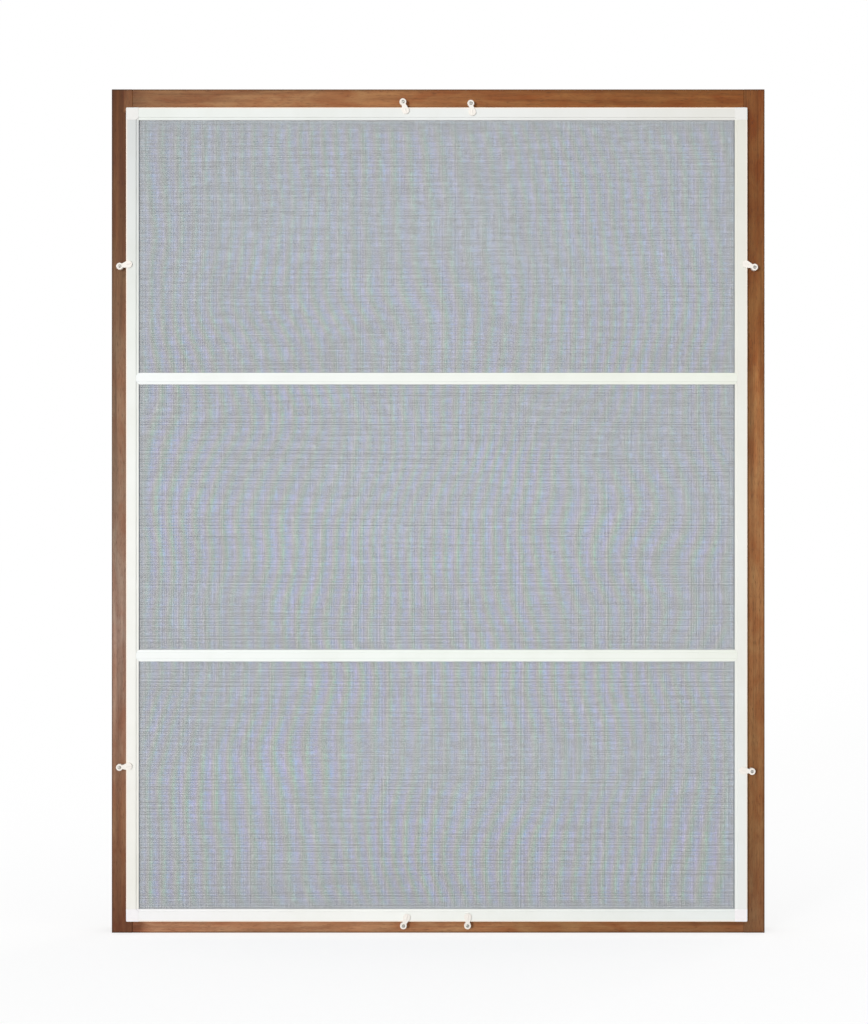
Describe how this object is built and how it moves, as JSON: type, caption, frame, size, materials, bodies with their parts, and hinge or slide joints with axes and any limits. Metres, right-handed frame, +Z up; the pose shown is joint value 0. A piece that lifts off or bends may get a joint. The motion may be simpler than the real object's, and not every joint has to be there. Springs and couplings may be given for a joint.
{
  "type": "window screen frame",
  "caption": "White aluminium insect screen with crossbars and grey mesh, held on a brown timber window frame by plastic turn clips.",
  "frame": {"origin": "centre of the underside of the timber sill", "axes": "+X to the right seen from the screen side, +Z up, the screen faces -Y"},
  "size_m": [1.306, 0.0911, 1.687],
  "materials": {
    "varnished_timber": "satin varnish",
    "white_aluminium": "powder coat",
    "white_plastic": "satin",
    "insect_mesh": "woven",
    "spline_vinyl": "matte",
    "clip_plastic": "gloss",
    "zinc_screw": "zinc plated"
  },
  "bodies": {
    "window": {"timber_left_jamb": "varnished_timber", "timber_right_jamb": "varnished_timber", "timber_head": "varnished_timber", "timber_sill": "varnished_timber", "screen_top_rail": "white_aluminium", "screen_bottom_rail": "white_aluminium", "screen_left_stile": "white_aluminium", "screen_right_stile": "white_aluminium", "upper_crossbar": "white_aluminium", "lower_crossbar": "white_aluminium", "corner_key_top_left": "white_plastic", "corner_key_top_right": "white_plastic", "corner_key_bottom_left": "white_plastic", "corner_key_bottom_right": "white_plastic", "crossbar_plug_upper_left": "white_plastic", "crossbar_plug_upper_right": "white_plastic", "crossbar_plug_lower_left": "white_plastic", "crossbar_plug_lower_right": "white_plastic", "mesh_upper": "insect_mesh", "mesh_middle": "insect_mesh", "mesh_lower": "insect_mesh", "spline_upper": "spline_vinyl", "spline_middle": "spline_vinyl", "spline_lower": "spline_vinyl", "clip_screws": "zinc_screw"},
    "top_left_clip": {"clip_top_left": "clip_plastic"},
    "top_right_clip": {"clip_top_right": "clip_plastic"},
    "left_upper_clip": {"clip_left_upper": "clip_plastic"},
    "left_lower_clip": {"clip_left_lower": "clip_plastic"},
    "right_upper_clip": {"clip_right_upper": "clip_plastic"},
    "right_lower_clip": {"clip_right_lower": "clip_plastic"},
    "bottom_left_clip": {"clip_bottom_left": "clip_plastic"},
    "bottom_right_clip": {"clip_bottom_right": "clip_plastic"}
  },
  "joints": [
    {"name": "top_left_clip_turn", "type": "hinge", "parent": "window", "child": "top_left_clip", "pos_m": [-0.0705, -0.0375, 1.66], "axis": [0, -1, 0], "continuous": true},
    {"name": "top_right_clip_turn", "type": "hinge", "parent": "window", "child": "top_right_clip", "pos_m": [0.065, -0.0375, 1.657], "axis": [0, -1, 0], "continuous": true},
    {"name": "left_upper_clip_turn", "type": "hinge", "parent": "window", "child": "left_upper_clip", "pos_m": [-0.6355, -0.0375, 1.332], "axis": [0, -1, 0], "continuous": true},
    {"name": "left_lower_clip_turn", "type": "hinge", "parent": "window", "child": "left_lower_clip", "pos_m": [-0.636, -0.0375, 0.332], "axis": [0, -1, 0], "continuous": true},
    {"name": "right_upper_clip_turn", "type": "hinge", "parent": "window", "child": "right_upper_clip", "pos_m": [0.631, -0.0375, 1.33], "axis": [0, -1, 0], "continuous": true},
    {"name": "right_lower_clip_turn", "type": "hinge", "parent": "window", "child": "right_lower_clip", "pos_m": [0.626, -0.0375, 0.324], "axis": [0, -1, 0], "continuous": true},
    {"name": "bottom_left_clip_turn", "type": "hinge", "parent": "window", "child": "bottom_left_clip", "pos_m": [-0.0695, -0.0375, 0.016], "axis": [0, -1, 0], "continuous": true},
    {"name": "bottom_right_clip_turn", "type": "hinge", "parent": "window", "child": "bottom_right_clip", "pos_m": [0.0585, -0.0375, 0.016], "axis": [0, -1, 0], "continuous": true}
  ]
}
